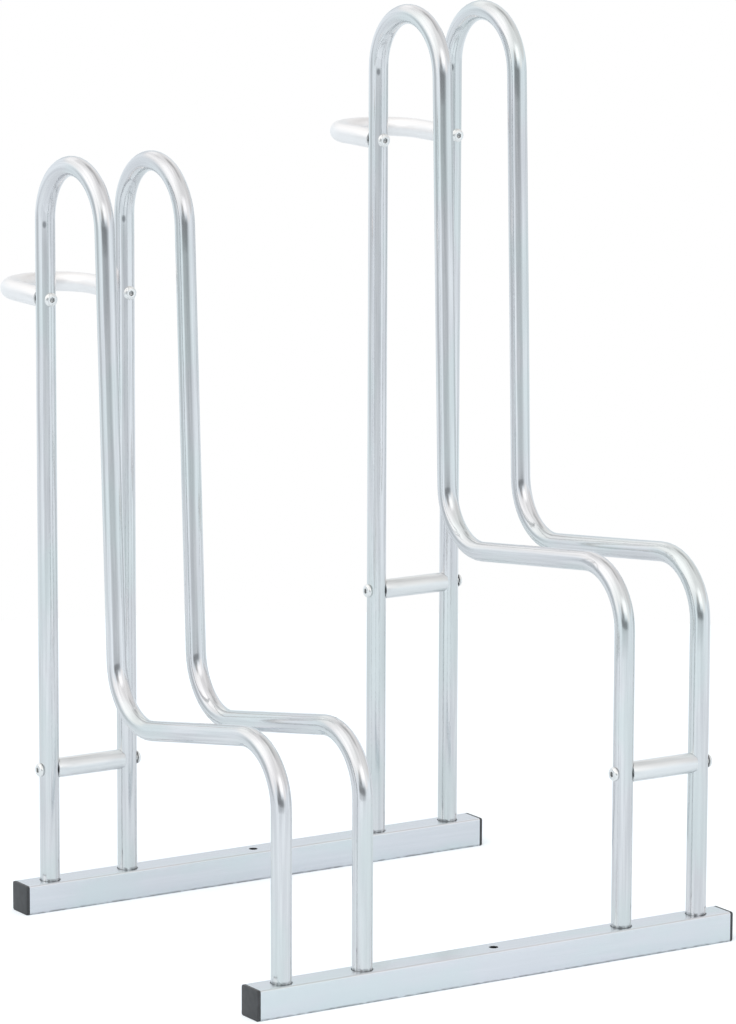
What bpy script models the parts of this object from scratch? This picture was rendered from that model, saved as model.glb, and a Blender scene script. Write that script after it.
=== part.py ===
"""Floor stand for two bicycles: one wheel place low, one high, bolted together from bent steel tube.

Metres, +Z up. The two places stand side by side along X. A wheel rolls into its place along +Y, over
the front rail, between the place's two hoops and against the wheel stop behind them. The origin is on
the floor, under the middle of the stand's outline.
"""

from dataclasses import dataclass
from math import cos, pi, radians, sin, sqrt, tan

import bmesh
import bpy
from mathutils import Matrix, Vector

# Fits: where pieces touch, round a leg in its rail, beside it within, and round a screw's shank
SEAT = 0.0003
RING_CLEARANCE = 0.0007
LEG_ROOM = 0.0035
SHANK_CLEARANCE = 0.0005

# Round tube of the hoops, spacers and wheel stops
TUBE = 0.020
TUBE_WALL = 0.0015
BEND_RADIUS = 0.060
WHEEL_GAP = 0.070
SADDLE = 0.0035

# Base rails, square tube
RAIL_WALL = 0.0015
RAIL_INNER_CORNER = 0.0005
RAIL_SPACING = 0.450
ANCHOR_HOLE = 0.009

# Plastic end caps of the rails
CAP_FLANGE = 0.003
CAP_DOME = 0.0008
CAP_PLUG = 0.016
CAP_PLUG_WALL = 0.002
CAP_RIB = 0.0012
CAP_RIB_WIDTH = 0.0024
CAP_RIB_PITCH = 0.007
CAP_TO_LEG = 0.0057

# The two places, whose heights keep the handlebars apart
PLACE_SPACING = 0.390
LOW_TOP = 0.772
LOW_STEP = 0.228
LOW_LEAN = radians(2.6)
LOW_RISE = radians(9.7)
LOW_STOP_DROP = 0.078
LOW_REAR_SPACER = 0.145
HIGH_TOP = 0.903
HIGH_STEP = 0.365
HIGH_LEAN = radians(1.85)
HIGH_RISE = radians(6.8)
HIGH_STOP_DROP = 0.0735
HIGH_REAR_SPACER = 0.288
HIGH_FRONT_SPACER = 0.184
STOP_REACH = 0.107

# M8 screws and the threaded inserts that they go into
THREAD = 0.008
HEX_KEY = 0.005
HEX_DEPTH = 0.0022
BUTTON_HEAD = 0.014
BUTTON_HEIGHT = 0.0034
BUTTON_LAND = 0.0006
BUTTON_SCREW = 0.035
SUNK_HEAD = 0.016
SUNK_LAND = 0.0003
SUNK_RECESS = 0.0005
SUNK_SCREW = 0.025
SCREW_TIP = 0.001
INSERT = 0.015

# Facets
TUBE_SIDES = 12
TUBE_RESOLUTION = (TUBE_SIDES - 4) // 2
TOP_BEND_STEPS = 12
LOWER_BEND_STEPS = 6
HOLE_SIDES = 12
SCREW_SIDES = 10
INSERT_SIDES = 8
CORNER_STEPS = 2
DOME_STEPS = 2
SHARP_ANGLE = radians(35)
MERGE = 0.00001


@dataclass(frozen=True)
class Place:
    """One wheel place: its middle along X, and the heights and slopes of its two hoops."""

    name: str
    middle: float
    top: float
    step: float
    lean: float
    rise: float
    stop_drop: float
    rear_spacer: float
    front_spacer: float | None

    @property
    def bend(self):
        """Height at which the top bend starts, above the straight of the posts."""
        return self.top - TUBE / 2 - BEND_RADIUS

    @property
    def stop(self):
        """Height of the wheel stop's centre line, below the top bend."""
        return self.bend - self.stop_drop


PLACES = (
    Place("low", -PLACE_SPACING / 2, LOW_TOP, LOW_STEP, LOW_LEAN, LOW_RISE, LOW_STOP_DROP,
          LOW_REAR_SPACER, None),
    Place("high", PLACE_SPACING / 2, HIGH_TOP, HIGH_STEP, HIGH_LEAN, HIGH_RISE, HIGH_STOP_DROP,
          HIGH_REAR_SPACER, HIGH_FRONT_SPACER),
)

SIDES = (("left", -1), ("right", 1))
ENDS = (("front", -1), ("rear", 1))

# A rail is wide enough for a leg to stand in, and runs on past the outer legs for the caps' plugs.
HOOP_OFFSET = (WHEEL_GAP + TUBE) / 2
RAIL_INSIDE = TUBE + 2 * LEG_ROOM
RAIL_SIZE = RAIL_INSIDE + 2 * RAIL_WALL
RAIL_OUTER_CORNER = RAIL_INNER_CORNER + RAIL_WALL
RAIL_LENGTH = PLACE_SPACING + 2 * HOOP_OFFSET + TUBE + 2 * (CAP_TO_LEG + CAP_PLUG)
CLEARANCE_HOLE = THREAD + 2 * SHANK_CLEARANCE

# The origin lies half way between the front rail's face and the back of the wheel stops.
FRONT_FACE = -(RAIL_SPACING + RAIL_SIZE) / 2
STOP_BACK = RAIL_SPACING / 2 + STOP_REACH + TUBE / 2
MIDDLE_DEPTH = (FRONT_FACE + STOP_BACK) / 2

# A countersunk head lies in a dimple pressed up into the rail's floor, whose cone slopes at 45 degrees.
DIMPLE_MOUTH = SUNK_HEAD / 2 + SUNK_RECESS + SUNK_LAND + SEAT * sqrt(2)
DIMPLE_SHEET = RAIL_WALL * sqrt(2)
DIMPLE_TOP = DIMPLE_MOUTH + DIMPLE_SHEET - CLEARANCE_HOLE / 2 - RAIL_WALL / 2

# A leg's lower rim rests on that cone, or on the rail's floor where its bore is wider than the cone.
BORE_FLATS = TUBE / 2 * cos(pi / TUBE_SIDES) - TUBE_WALL
LEG_END = max(RAIL_WALL, DIMPLE_MOUTH + DIMPLE_SHEET - BORE_FLATS) + SEAT * sqrt(2)
LEG_INSERT_END = max(DIMPLE_TOP, LEG_END) + SEAT


def collection(name):
    """Make an empty collection in the scene."""
    made = bpy.data.collections.new(name)
    bpy.context.scene.collection.children.link(made)
    return made


def finish(name, colour, roughness, metallic):
    """Make a material with one colour, roughness and metallic value."""
    material = bpy.data.materials.new(name)
    material.use_nodes = True
    shader = material.node_tree.nodes["Principled BSDF"]
    shader.inputs["Base Color"].default_value = (*colour, 1.0)
    shader.inputs["Roughness"].default_value = roughness
    shader.inputs["Metallic"].default_value = metallic
    return material


def empty(name, parent, location):
    """Make an empty that carries the pieces of one sub-assembly."""
    made = bpy.data.objects.new(name, None)
    made.location = location
    made.parent = parent
    PARTS.objects.link(made)
    return made


def put(name, mesh, parent, location, direction):
    """Place a mesh on its parent, with its +Z turned to a direction, if one is given."""
    made = bpy.data.objects.new(name, mesh)
    made.location = location
    made.parent = parent
    if direction is not None:
        made.rotation_euler = Vector(direction).to_track_quat("Z", "Y").to_euler()
    return made


def piece(name, mesh, parent, location, material, direction=None):
    """Place a piece of the stand."""
    made = put(name, mesh, parent, location, direction)
    if not mesh.materials:
        mesh.materials.append(material)
    PARTS.objects.link(made)
    return made


def cutter(name, mesh, parent, location, direction=None):
    """Place a tool body, which shapes pieces and is none itself."""
    made = put(name, mesh, parent, location, direction)
    made.hide_render = True
    made.display_type = "WIRE"
    CUTTERS.objects.link(made)
    return made


def boolean(target, tool, operation="DIFFERENCE"):
    """Cut a tool body out of a piece, or join it on."""
    modifier = target.modifiers.new(tool.name, "BOOLEAN")
    modifier.operation = operation
    modifier.solver = "EXACT"
    modifier.object = tool


def evaluated(source, name):
    """Turn an object, with its modifiers, into a mesh of its own, and remove the object."""
    bpy.context.view_layer.update()
    graph = bpy.context.evaluated_depsgraph_get()
    mesh = bpy.data.meshes.new_from_object(source.evaluated_get(graph))
    mesh.name = name
    bpy.data.objects.remove(source)
    return mesh


def smooth(mesh):
    """Shade a mesh smooth, but for its sharp edges."""
    mesh.shade_smooth()
    mesh.set_sharp_from_angle(angle=SHARP_ANGLE)
    return mesh


def turned(name, profile, sides, closed=False):
    """Turn a profile about Z.

    The profile's (radius, height) points run down the outside, and flat faces close its two ends. A
    closed profile makes a ring. The turn starts half a facet round, so that the edges of a tool body
    stay off those of the piece that it cuts.
    """
    mesh = bpy.data.meshes.new(name)
    start = pi / sides
    points = [(radius * cos(start), radius * sin(start), height) for radius, height in profile]
    edges = [(i, i + 1) for i in range(len(points) - 1)]
    if closed:
        edges.append((len(points) - 1, 0))
    mesh.from_pydata(points, edges, [])
    lathe = bpy.data.objects.new(name, mesh)
    PARTS.objects.link(lathe)
    screw = lathe.modifiers.new("turn", "SCREW")
    screw.steps = sides
    screw.render_steps = sides
    screw.use_merge_vertices = True
    screw.merge_threshold = MERGE
    made = evaluated(lathe, name)
    bpy.data.meshes.remove(mesh)
    form = bmesh.new()
    form.from_mesh(made)
    bmesh.ops.holes_fill(form, edges=form.edges)
    bmesh.ops.recalc_face_normals(form, faces=form.faces)
    form.to_mesh(made)
    form.free()
    return made


def rod(name, radius, low, high, sides):
    """Make a plain cylinder about Z between two heights."""
    return turned(name, [(radius, high), (radius, low)], sides)


def tube(name, points, parent, location, material):
    """Bend the round tube along a centre line, open at both ends."""
    curve = bpy.data.curves.new(name, "CURVE")
    curve.dimensions = "3D"
    curve.bevel_depth = TUBE / 2
    curve.bevel_resolution = TUBE_RESOLUTION
    spline = curve.splines.new("POLY")
    spline.points.add(len(points) - 1)
    for knot, point in zip(spline.points, points):
        knot.co = (*point, 1.0)
    guide = bpy.data.objects.new(name, curve)
    PARTS.objects.link(guide)
    mesh = evaluated(guide, name)
    bpy.data.curves.remove(curve)
    made = piece(name, smooth(mesh), parent, location, material)
    wall(made, TUBE_WALL)
    return made


def wall(target, thickness):
    """Give an open skin its wall, inwards."""
    solidify = target.modifiers.new("wall", "SOLIDIFY")
    solidify.thickness = thickness
    solidify.offset = -1
    solidify.use_even_offset = True


def square_ring(half, corner):
    """Return the points of a square outline with round corners."""
    points = []
    for quarter in range(4):
        turn = Matrix.Rotation(quarter * pi / 2, 2)
        centre = Vector((half - corner, half - corner))
        points += [turn @ point for point in arc(centre, corner, 0, pi / 2, CORNER_STEPS)]
    return points


def square_loft(name, stations, filled):
    """Loft a round-cornered square outline along X through (distance, half width, corner) stations."""
    form = bmesh.new()
    rings = []
    for distance, half, corner in stations:
        rings.append([form.verts.new((distance, y, z)) for y, z in square_ring(half, corner)])
    for near, far in zip(rings, rings[1:]):
        for i in range(len(near)):
            form.faces.new((near[i - 1], near[i], far[i], far[i - 1]))
    if filled:
        form.faces.new(rings[0])
        form.faces.new(rings[-1])
    bmesh.ops.recalc_face_normals(form, faces=form.faces)
    mesh = bpy.data.meshes.new(name)
    form.to_mesh(mesh)
    form.free()
    return smooth(mesh)


def arc(centre, radius, start, end, steps):
    """Return points on an arc in the plane, both ends included."""
    angles = [start + (end - start) * step / steps for step in range(steps + 1)]
    return [centre + radius * Vector((cos(angle), sin(angle))) for angle in angles]


def bend(before, corner, after, radius, steps):
    """Return points on the round bend that a centre line makes at a corner."""
    arriving = (corner - before).normalized()
    leaving = (after - corner).normalized()
    turn = arriving.angle(leaving)
    setback = radius * tan(turn / 2)
    centre = corner + (leaving - arriving).normalized() * radius / cos(turn / 2)
    start = (corner - arriving * setback - centre).normalized()
    end = (corner + leaving * setback - centre).normalized()
    return [centre + radius * start.slerp(end, step / steps) for step in range(steps + 1)]


def hoop_path(place):
    """Return a hoop's centre line: rear post, top bend, down leg, step and front leg.

    The points lie in the YZ plane, with Y measured from half way between the rails.
    """
    rear = RAIL_SPACING / 2
    front = -RAIL_SPACING / 2
    bend_centre = Vector((rear - BEND_RADIUS, place.bend))
    top_bend = arc(bend_centre, BEND_RADIUS, 0, pi - place.lean, TOP_BEND_STEPS)
    leg_top = top_bend[-1]
    slope = tan(place.rise)
    drift = tan(place.lean)
    step_back = (leg_top.x - drift * (leg_top.y - place.step)) / (1 + drift * slope)
    back_corner = Vector((step_back, place.step - step_back * slope))
    front_corner = Vector((front, place.step - front * slope))
    front_end = Vector((front, LEG_END))
    path = [Vector((rear, LEG_END))]
    path += top_bend
    path += bend(leg_top, back_corner, front_corner, BEND_RADIUS, LOWER_BEND_STEPS)
    path += bend(back_corner, front_corner, front_end, BEND_RADIUS, LOWER_BEND_STEPS)
    path.append(front_end)
    return [(0, point.x, point.y) for point in path]


def stop_path():
    """Return a wheel stop's centre line, a flat U whose ends meet the backs of two rear posts."""
    start = TUBE / 2 + SEAT - SADDLE
    bend_start = STOP_REACH - HOOP_OFFSET
    path = [Vector((HOOP_OFFSET, start))]
    path += arc(Vector((0, bend_start)), HOOP_OFFSET, 0, pi, TOP_BEND_STEPS)
    path.append(Vector((-HOOP_OFFSET, start)))
    return [(point.x, point.y, 0) for point in path]


def button_screw():
    """Make a button-head screw with a hex socket, its head on +Z and its seat at z = 0."""
    dome = []
    flat = HEX_KEY / sqrt(3) + BUTTON_LAND
    for step in range(DOME_STEPS + 1):
        angle = pi / 2 * (1 - step / DOME_STEPS)
        dome.append((flat + (BUTTON_HEAD / 2 - flat) * cos(angle),
                     BUTTON_LAND + (BUTTON_HEIGHT - BUTTON_LAND) * sin(angle)))
    profile = dome + [(BUTTON_HEAD / 2, 0), (THREAD / 2, 0)] + screw_tip(BUTTON_SCREW)
    return socketed("button_screw", profile, BUTTON_HEIGHT)


def sunk_screw():
    """Make a countersunk screw with a hex socket, its head's face at z = 0, facing +Z."""
    cone = SUNK_LAND + (SUNK_HEAD - THREAD) / 2
    profile = [(SUNK_HEAD / 2, 0), (SUNK_HEAD / 2, -SUNK_LAND), (THREAD / 2, -cone)] + screw_tip(SUNK_SCREW)
    return socketed("sunk_screw", profile, 0)


def screw_tip(length):
    """Return the profile of a screw's chamfered tip, at its length below the seat."""
    return [(THREAD / 2, SCREW_TIP - length), (THREAD / 2 - SCREW_TIP, -length)]


def socketed(name, profile, face):
    """Turn a screw's profile and sink the hex socket into its face."""
    body = bpy.data.objects.new(name, turned(name, profile, SCREW_SIDES))
    PARTS.objects.link(body)
    hexagon = rod(name + "_hexagon", HEX_KEY / sqrt(3), face - HEX_DEPTH, face + HEX_DEPTH, 6)
    key = cutter(name + "_key", hexagon, None, (0, 0, 0))
    boolean(body, key)
    mesh = evaluated(body, name)
    bpy.data.objects.remove(key)
    return smooth(mesh)


def threaded_insert():
    """Make the round insert that is pressed into a tube's end, from z = 0 down into the tube."""
    outer = BORE_FLATS - SEAT
    bore = (THREAD / 2 + SEAT) / cos(pi / INSERT_SIDES)
    profile = [(outer, 0), (outer, -INSERT), (bore, -INSERT), (bore, 0)]
    return smooth(turned("threaded_insert", profile, INSERT_SIDES, closed=True))


def end_cap():
    """Make a rail's end cap: a hollow ribbed plug and a domed flange, which faces +X."""
    rib = RAIL_INSIDE / 2 - SEAT
    plug = rib - CAP_RIB
    hollow = plug - CAP_PLUG_WALL
    corner = RAIL_OUTER_CORNER
    stations = [(-CAP_PLUG_WALL, hollow, corner), (-CAP_PLUG, hollow, corner), (-CAP_PLUG, plug, corner)]
    for number in range(int(CAP_PLUG / CAP_RIB_PITCH)):
        start = CAP_RIB_PITCH * (number + 0.5) - CAP_PLUG
        back = start + CAP_RIB_WIDTH
        stations += [(start, plug, corner), (back, rib, corner), (back, plug, corner)]
    outside = RAIL_SIZE / 2
    edge = SEAT + CAP_FLANGE - CAP_DOME
    stations += [(SEAT, plug, corner), (SEAT, outside, corner), (edge, outside, corner)]
    stations.append((SEAT + CAP_FLANGE, outside - CAP_DOME, corner))
    return square_loft("end_cap", stations, filled=True)


def build_rail(name, depth):
    """Build one base rail, with a hole and a pressed seat for each leg and an anchor hole at mid-length."""
    stations = [(-RAIL_LENGTH / 2, RAIL_SIZE / 2, RAIL_OUTER_CORNER)]
    stations.append((RAIL_LENGTH / 2, RAIL_SIZE / 2, RAIL_OUTER_CORNER))
    skin = square_loft(name, stations, filled=False)
    rail = piece(name, skin, STAND, (0, depth, RAIL_SIZE / 2), RAIL_STEEL)
    wall(rail, RAIL_WALL)
    for place in PLACES:
        for side, sign in SIDES:
            leg = f"{name}_{place.name}_{side}"
            cut_leg_seat(rail, leg, place.middle + sign * HOOP_OFFSET, depth)
    anchor = rod(name + "_anchor", ANCHOR_HOLE / 2, -RAIL_SIZE, RAIL_SIZE, HOLE_SIDES)
    boolean(rail, cutter(name + "_anchor", anchor, STAND, (0, depth, RAIL_SIZE / 2)))
    return rail


def cut_leg_seat(rail, name, x, y):
    """Cut the hole that a leg goes in by, and press up the dimple that it stands on."""
    below = -RAIL_WALL
    hole = CLEARANCE_HOLE / 2
    foot = DIMPLE_MOUTH + DIMPLE_SHEET - RAIL_WALL / 2
    head = DIMPLE_MOUTH + DIMPLE_SHEET - DIMPLE_TOP
    dimple = turned(name + "_dimple", [(head, DIMPLE_TOP), (foot, RAIL_WALL / 2)], HOLE_SIDES)
    boolean(rail, cutter(name + "_dimple", dimple, STAND, (x, y, 0)), "UNION")
    sink = turned(name + "_sink", [(hole, RAIL_SIZE / 2), (hole, DIMPLE_MOUTH - hole),
                                   (DIMPLE_MOUTH - below, below)], HOLE_SIDES)
    boolean(rail, cutter(name + "_sink", sink, STAND, (x, y, 0)))
    entry = rod(name + "_entry", TUBE / 2 + RING_CLEARANCE, RAIL_SIZE / 2, 2 * RAIL_SIZE, HOLE_SIDES)
    boolean(rail, cutter(name + "_entry", entry, STAND, (x, y, 0)))


def build_base():
    """Build both rails with their end caps."""
    cap = end_cap()
    for end, way in ENDS:
        depth = way * RAIL_SPACING / 2
        build_rail(end + "_rail", depth)
        for side, sign in SIDES:
            seat = (sign * RAIL_LENGTH / 2, depth, RAIL_SIZE / 2)
            made = piece(f"{end}_{side}_cap", cap, STAND, seat, CAP_PLASTIC)
            made.rotation_euler = (0, 0, 0 if sign > 0 else pi)


def cut_saddle(target, name, hub, location):
    """Cut a tube's end to lie round the upright post at a location."""
    radius = (TUBE / 2 + SEAT) / cos(pi / HOLE_SIDES)
    post = rod(name + "_saddle", radius, -TUBE, TUBE, HOLE_SIDES)
    boolean(target, cutter(name + "_saddle", post, hub, location))


def build_spacer(place, hub, hoops, end, depth, height):
    """Build a spacer tube between two hoops, with its screws and inserts, and cut the hoops for them."""
    name = f"{place.name}_{end}_spacer"
    half = HOOP_OFFSET - TUBE / 2 - SEAT
    centre = (0, depth, height)
    spacer = tube(name, [(-half - SADDLE, 0, 0), (half + SADDLE, 0, 0)], hub, centre, SPACER_STEEL)
    reach = HOOP_OFFSET + TUBE
    bore = rod(name + "_bore", CLEARANCE_HOLE / 2, -reach, reach, HOLE_SIDES)
    drill = cutter(name + "_bore", bore, hub, centre, (1, 0, 0))
    for hoop in hoops:
        boolean(hoop, drill)
    for side, sign in SIDES:
        cut_saddle(spacer, f"{name}_{side}", hub, (sign * HOOP_OFFSET, depth, height))
        seat = (sign * (HOOP_OFFSET + TUBE / 2 + SEAT), depth, height)
        piece(f"{name}_{side}_screw", BUTTON_MESH, hub, seat, SCREW_STEEL, (sign, 0, 0))
        piece(f"{name}_{side}_insert", INSERT_MESH, hub, (sign * half, depth, height), INSERT_STEEL,
              (sign, 0, 0))


def build_stop(place, hub, hoops):
    """Build a wheel stop behind the rear posts, with its screws and inserts, and cut the posts for them."""
    name = place.name + "_stop"
    depth = RAIL_SPACING / 2
    stop = tube(f"{place.name}_wheel_stop", stop_path(), hub, (0, depth, place.stop), STOP_STEEL)
    for hoop, (side, sign) in zip(hoops, SIDES):
        x = sign * HOOP_OFFSET
        cut_saddle(stop, f"{name}_{side}", hub, (x, depth, place.stop))
        bore = rod(f"{name}_{side}_bore", CLEARANCE_HOLE / 2, -TUBE, TUBE, HOLE_SIDES)
        boolean(hoop, cutter(f"{name}_{side}_bore", bore, hub, (x, depth, place.stop), (0, 1, 0)))
        front = depth - TUBE / 2 - SEAT
        back = depth + TUBE / 2 + SEAT
        piece(f"{name}_{side}_screw", BUTTON_MESH, hub, (x, front, place.stop), SCREW_STEEL, (0, -1, 0))
        piece(f"{name}_{side}_insert", INSERT_MESH, hub, (x, back, place.stop), INSERT_STEEL, (0, -1, 0))


def build_legs(place, hub, side, x):
    """Fasten a hoop's two legs: an insert in each end, and a screw up through the rail."""
    for end, way in ENDS:
        name = f"{place.name}_{side}_{end}_leg"
        depth = way * RAIL_SPACING / 2
        piece(name + "_insert", INSERT_MESH, hub, (x, depth, LEG_INSERT_END), INSERT_STEEL, (0, 0, -1))
        piece(name + "_screw", SUNK_MESH, hub, (x, depth, SUNK_RECESS), SCREW_STEEL, (0, 0, -1))


def build_place(place):
    """Build one wheel place on the rails: two hoops, their spacers and the wheel stop."""
    hub = empty(place.name + "_place", STAND, (place.middle, 0, 0))
    path = hoop_path(place)
    hoops = []
    for side, sign in SIDES:
        x = sign * HOOP_OFFSET
        hoops.append(tube(f"{place.name}_{side}_hoop", path, hub, (x, 0, 0), HOOP_STEEL))
        build_legs(place, hub, side, x)
    build_spacer(place, hub, hoops, "rear", RAIL_SPACING / 2, place.rear_spacer)
    if place.front_spacer is not None:
        build_spacer(place, hub, hoops, "front", -RAIL_SPACING / 2, place.front_spacer)
    build_stop(place, hub, hoops)


for leftover in list(bpy.data.objects):
    bpy.data.objects.remove(leftover)

PARTS = collection("floor_bike_stand")
CUTTERS = collection("cutters")

HOOP_STEEL = finish("hoop_zinc", (0.62, 0.66, 0.70), 0.28, 1.0)
RAIL_STEEL = finish("rail_zinc", (0.60, 0.65, 0.69), 0.34, 1.0)
SPACER_STEEL = finish("spacer_zinc", (0.74, 0.78, 0.80), 0.26, 1.0)
STOP_STEEL = finish("stop_zinc", (0.82, 0.84, 0.85), 0.24, 1.0)
SCREW_STEEL = finish("screw_zinc", (0.55, 0.57, 0.59), 0.22, 1.0)
INSERT_STEEL = finish("insert_steel", (0.42, 0.43, 0.44), 0.40, 1.0)
CAP_PLASTIC = finish("cap_plastic", (0.035, 0.037, 0.040), 0.45, 0.0)

STAND = empty("stand", None, (0, -MIDDLE_DEPTH, 0))
BUTTON_MESH = button_screw()
SUNK_MESH = sunk_screw()
INSERT_MESH = threaded_insert()

build_base()
for wheel_place in PLACES:
    build_place(wheel_place)
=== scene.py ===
"""Looks of a floor stand for two bicycles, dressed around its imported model.

The stand is bent zinc-plated tube on two square rails. Every piece that shows is modelled here in full
roundness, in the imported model's own frame: metres, +Z up, a wheel rolls in along +Y.
"""

import logging
import sys
from collections.abc import Callable, Iterator, Mapping
from contextlib import contextmanager
from dataclasses import dataclass, field
from enum import Enum
from math import atan2, ceil, copysign, cos, degrees, pi, radians, sin, sqrt, tan
from typing import Any

import bmesh
import bpy
from mathutils import Matrix, Vector


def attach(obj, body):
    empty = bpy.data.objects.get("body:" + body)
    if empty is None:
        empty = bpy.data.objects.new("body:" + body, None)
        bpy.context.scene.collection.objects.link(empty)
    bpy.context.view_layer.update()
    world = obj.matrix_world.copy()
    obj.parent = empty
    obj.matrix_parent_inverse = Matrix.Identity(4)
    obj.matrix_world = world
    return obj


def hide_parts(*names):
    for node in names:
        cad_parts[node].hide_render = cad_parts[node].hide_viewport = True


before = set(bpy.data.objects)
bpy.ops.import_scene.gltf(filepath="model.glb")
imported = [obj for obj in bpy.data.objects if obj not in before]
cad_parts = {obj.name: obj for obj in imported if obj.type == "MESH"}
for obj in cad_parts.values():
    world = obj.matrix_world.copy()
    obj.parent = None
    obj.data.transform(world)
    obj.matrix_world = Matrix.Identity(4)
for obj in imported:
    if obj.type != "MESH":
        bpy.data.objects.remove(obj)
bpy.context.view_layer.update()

LOG = logging.getLogger("floor_bike_stand")
BODY = "root"
RUN_ATTRIBUTE = "run"
# Each point's place from a hoop's top bend, for the painted dark reflection spot.
REFLECTION_SPOT_ATTRIBUTE = "mark"
# Marks the points of a screw's socket, where shade is painted.
SUNK_ATTRIBUTE = "sunk"
MERGE = 0.00001
SMOOTH_ANGLE = radians(35)
# The cosine above which a face looks, or an edge runs, along an axis.
SQUARE_ON = 0.9
ROUND_SIDES = 48
EDGE_STEPS = 2
HALF_TURN = 180.0
# The value that a noise wanders about.
NOISE_MIDDLE = 0.5
ORIGIN = Vector((0, 0, 0))
X_AXIS = Vector((1, 0, 0))
Y_AXIS = Vector((0, 1, 0))
Z_AXIS = Vector((0, 0, 1))
WHITE = (1.0, 1.0, 1.0)

Pair = tuple[float, float]
Triple = tuple[float, float, float]
Colour = Triple
Piece = bpy.types.Object
# A point or direction in the plane of a centre line.
Flat = Vector


class Slot(Enum):
    """The record's material slots."""

    HOOP = "hoop"
    RAIL = "rail"
    SPACER = "spacer"
    STOP = "stop"
    SCREW = "screw"
    INSERT = "insert"
    CAP = "cap"


class Signal:
    """An output of a shader node that can be used in sums."""

    def __init__(self, graph: "Graph", socket: bpy.types.NodeSocket) -> None:
        """Wrap an output socket of a graph's node."""
        self.graph = graph
        self.socket = socket

    def maths(self, operation: str, *others: "Signal | float") -> "Signal":
        """Return the result of a Math node that takes this signal and the others."""
        inputs = dict(enumerate((self, *others)))
        return self.graph.signal("ShaderNodeMath", {"operation": operation}, inputs)

    def vector_maths(self, operation: str, *others: "Signal | Triple", output: str = "Vector") -> "Signal":
        """Return an output of a Vector Math node that takes this signal and the others."""
        inputs = dict(enumerate((self, *others)))
        return self.graph.signal("ShaderNodeVectorMath", {"operation": operation}, inputs, output)

    def __add__(self, other: "Signal | float") -> "Signal":
        """Add."""
        return self.maths("ADD", other)

    def __sub__(self, other: "Signal | float") -> "Signal":
        """Subtract."""
        return self.maths("SUBTRACT", other)

    def __rsub__(self, other: float) -> "Signal":
        """Subtract from a number."""
        return self.maths("MULTIPLY_ADD", -1.0, other)

    def __mul__(self, other: "Signal | float") -> "Signal":
        """Multiply."""
        return self.maths("MULTIPLY", other)

    __radd__ = __add__
    __rmul__ = __mul__

    def degrees_of(self, function: str, *others: "Signal") -> "Signal":
        """Return an inverse function's angle in degrees."""
        return self.maths(function, *others) * degrees(1.0)

    def ramp(self, low: float, high: float) -> "Signal":
        """Rise softly from 0 to 1 between two levels; from a higher to a lower one it falls."""
        inputs = {"Value": self, "From Min": low, "From Max": high}
        return self.graph.signal("ShaderNodeMapRange", {"interpolation_type": "SMOOTHSTEP"}, inputs)


class Graph:
    """A node tree that a finish or the studio's light is written into."""

    # A Mix node's colour sockets, whose names repeat for its other kinds of data.
    MIX_FIRST = 6
    MIX_SECOND = 7
    MIX_COLOUR = 2

    def __init__(self, tree: bpy.types.NodeTree) -> None:
        """Empty a material's or world's node tree, to write into."""
        tree.nodes.clear()
        self.tree = tree

    def node(self, kind: str, settings: Mapping[str, Any], inputs: Mapping[str | int, Any]) -> bpy.types.Node:
        """Add a node.

        Args:
            kind: The node's type.
            settings: What is set on the node itself, before its sockets.
            inputs: Values or signals, by socket name or number.

        Returns:
            The node.
        """
        made = self.tree.nodes.new(kind)
        for name, value in settings.items():
            setattr(made, name, value)
        for key, value in inputs.items():
            if isinstance(value, Signal):
                self.tree.links.new(value.socket, made.inputs[key])
            else:
                made.inputs[key].default_value = value
        return made

    def signal(self, kind: str, settings: Mapping[str, Any], inputs: Mapping[str | int, Any],
               output: str | int = 0) -> Signal:
        """Add a node and return its output of a name or number."""
        return Signal(self, self.node(kind, settings, inputs).outputs[output])

    def attribute(self, name: str, output: str = "Vector") -> Signal:
        """Return what a piece stores at its points under a name."""
        return self.signal("ShaderNodeAttribute", {"attribute_name": name}, {}, output)

    def split(self, vector: Signal) -> list[Signal]:
        """Return a vector's three parts."""
        parts = self.node("ShaderNodeSeparateXYZ", {}, {0: vector})
        return [Signal(self, socket) for socket in parts.outputs]

    def noise(self, place: Signal, stretch: Triple, detail: float = 2.0) -> Signal:
        """Return a noise about one half, from its turns a metre along each axis and its octaves."""
        stretched = self.signal("ShaderNodeMapping", {}, {"Vector": place, "Scale": stretch})
        return self.signal("ShaderNodeTexNoise", {}, {"Vector": stretched, "Scale": 1.0, "Detail": detail})

    def blend(self, share: Signal | float, first: Signal | Colour, second: Signal | Colour) -> Signal:
        """Mix two colours.

        Args:
            share: How much of the second shows.
            first: One colour.
            second: The other.

        Returns:
            The mixed colour.
        """
        colours = [colour if isinstance(colour, Signal) else (*colour, 1.0) for colour in (first, second)]
        inputs = {0: share, self.MIX_FIRST: colours[0], self.MIX_SECOND: colours[1]}
        return self.signal("ShaderNodeMix", {"data_type": "RGBA"}, inputs, self.MIX_COLOUR)

    def surface(self, bump: Mapping[str, Any], sockets: Mapping[str, Any]) -> Signal:
        """Return a Principled shader with a bump, from both nodes' inputs."""
        normal = self.signal("ShaderNodeBump", {}, bump, "Normal")
        return self.signal("ShaderNodeBsdfPrincipled", {}, {**sockets, "Normal": normal})


def paint(name: str, shader: Callable[[Graph], Signal]) -> bpy.types.Material:
    """Make a material.

    Args:
        name: Its name.
        shader: Writes the surface's shader into the material's graph.

    Returns:
        The material.
    """
    made = bpy.data.materials.new(name)
    made.use_nodes = True
    graph = Graph(made.node_tree)
    graph.node("ShaderNodeOutputMaterial", {}, {"Surface": shader(graph)})
    return made


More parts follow.
